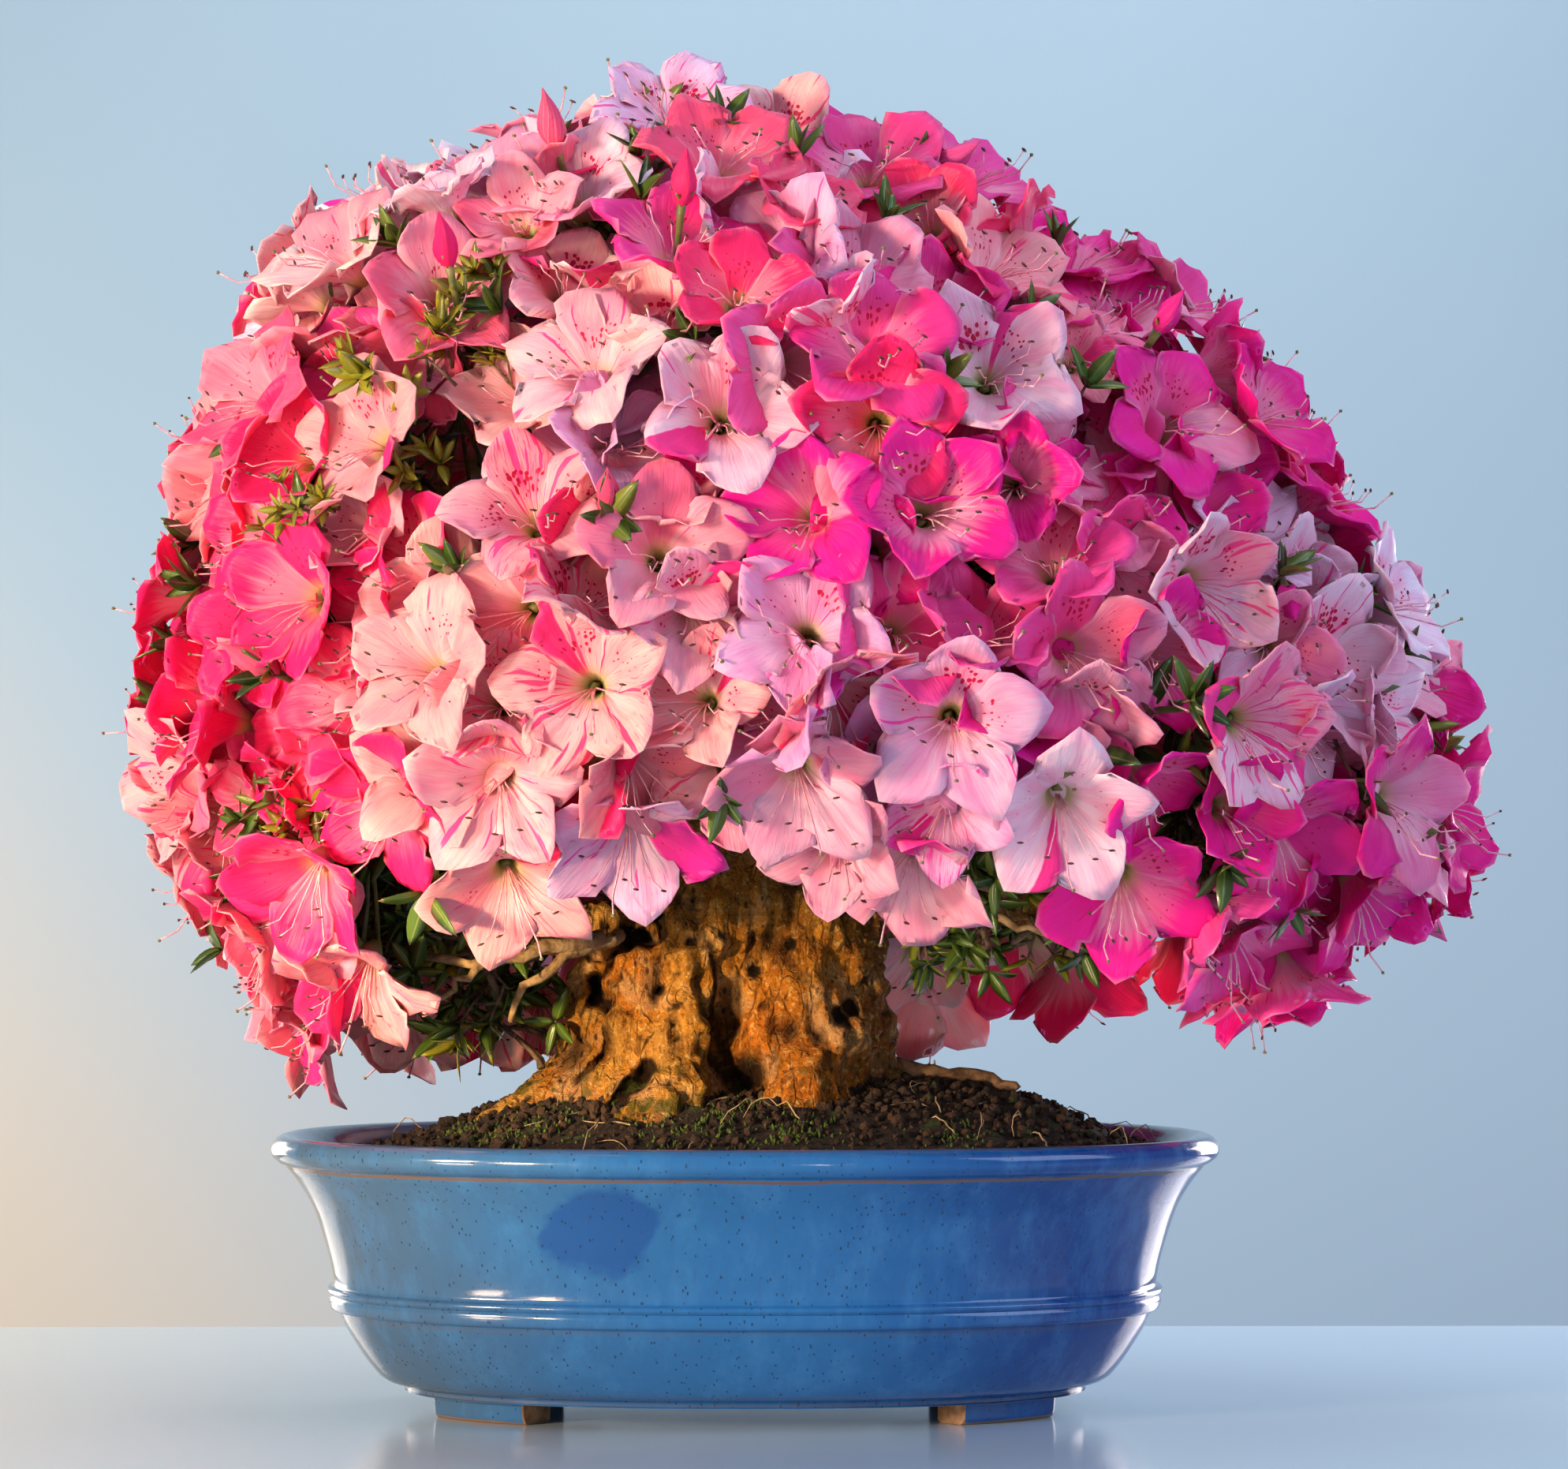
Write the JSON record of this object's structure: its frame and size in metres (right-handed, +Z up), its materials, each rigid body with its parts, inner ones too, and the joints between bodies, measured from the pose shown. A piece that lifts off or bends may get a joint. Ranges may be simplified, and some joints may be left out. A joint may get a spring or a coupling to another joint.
{
  "type": "bonsai in pot",
  "caption": "Flowering azalea bonsai: a domed crown of trumpet blooms on a thick flared trunk, in an oval glazed pot with a lip, a belt and corner feet.",
  "frame": {"origin": "middle of the whole object's footprint, on the surface that the pot's feet stand on", "axes": "+Z up, -Y towards the viewer of the tree's front, +X to the viewer's right along the pot's length"},
  "size_m": [0.5742, 0.4686, 0.5646],
  "materials": {
    "glaze": "glossy mottled blue glaze",
    "soil": "rough damp granules",
    "drain_mesh": "matte",
    "bark": "rough pitted bark",
    "leaves": "soft satin",
    "petals_pale": "soft, slightly translucent",
    "petals_magenta": "soft, slightly translucent",
    "petals_coral": "soft, slightly translucent"
  },
  "bodies": {
    "root": {"blooms_coral_01": "petals_coral", "blooms_coral_02": "petals_coral", "blooms_coral_08": "petals_coral", "blooms_coral_13": "petals_coral", "blooms_coral_18": "petals_coral", "blooms_coral_22": "petals_coral", "blooms_coral_24": "petals_coral", "blooms_coral_26": "petals_coral", "blooms_coral_27": "petals_coral", "blooms_coral_31": "petals_coral", "blooms_coral_33": "petals_coral", "blooms_coral_37": "petals_coral", "blooms_magenta_03": "petals_magenta", "blooms_magenta_04": "petals_magenta", "blooms_magenta_07": "petals_magenta", "blooms_magenta_10": "petals_magenta", "blooms_magenta_17": "petals_magenta", "blooms_magenta_19": "petals_magenta", "blooms_magenta_21": "petals_magenta", "blooms_magenta_28": "petals_magenta", "blooms_magenta_32": "petals_magenta", "blooms_magenta_36": "petals_magenta", "blooms_magenta_39": "petals_magenta", "blooms_magenta_40": "petals_magenta", "blooms_pale_05": "petals_pale", "blooms_pale_06": "petals_pale", "blooms_pale_09": "petals_pale", "blooms_pale_11": "petals_pale", "blooms_pale_12": "petals_pale", "blooms_pale_14": "petals_pale", "blooms_pale_15": "petals_pale", "blooms_pale_16": "petals_pale", "blooms_pale_20": "petals_pale", "blooms_pale_23": "petals_pale", "blooms_pale_25": "petals_pale", "blooms_pale_29": "petals_pale", "blooms_pale_30": "petals_pale", "blooms_pale_34": "petals_pale", "blooms_pale_35": "petals_pale", "blooms_pale_38": "petals_pale", "drain_screen_left": "drain_mesh", "drain_screen_right": "drain_mesh", "foliage_01": "leaves", "foliage_02": "leaves", "foliage_03": "leaves", "foliage_04": "leaves", "foliage_05": "leaves", "foliage_06": "leaves", "foliage_07": "leaves", "foliage_08": "leaves", "foliage_09": "leaves", "foliage_10": "leaves", "foliage_11": "leaves", "foliage_12": "leaves", "pot": "glaze", "soil": "soil", "trunk": "bark"}
  },
  "joints": []
}
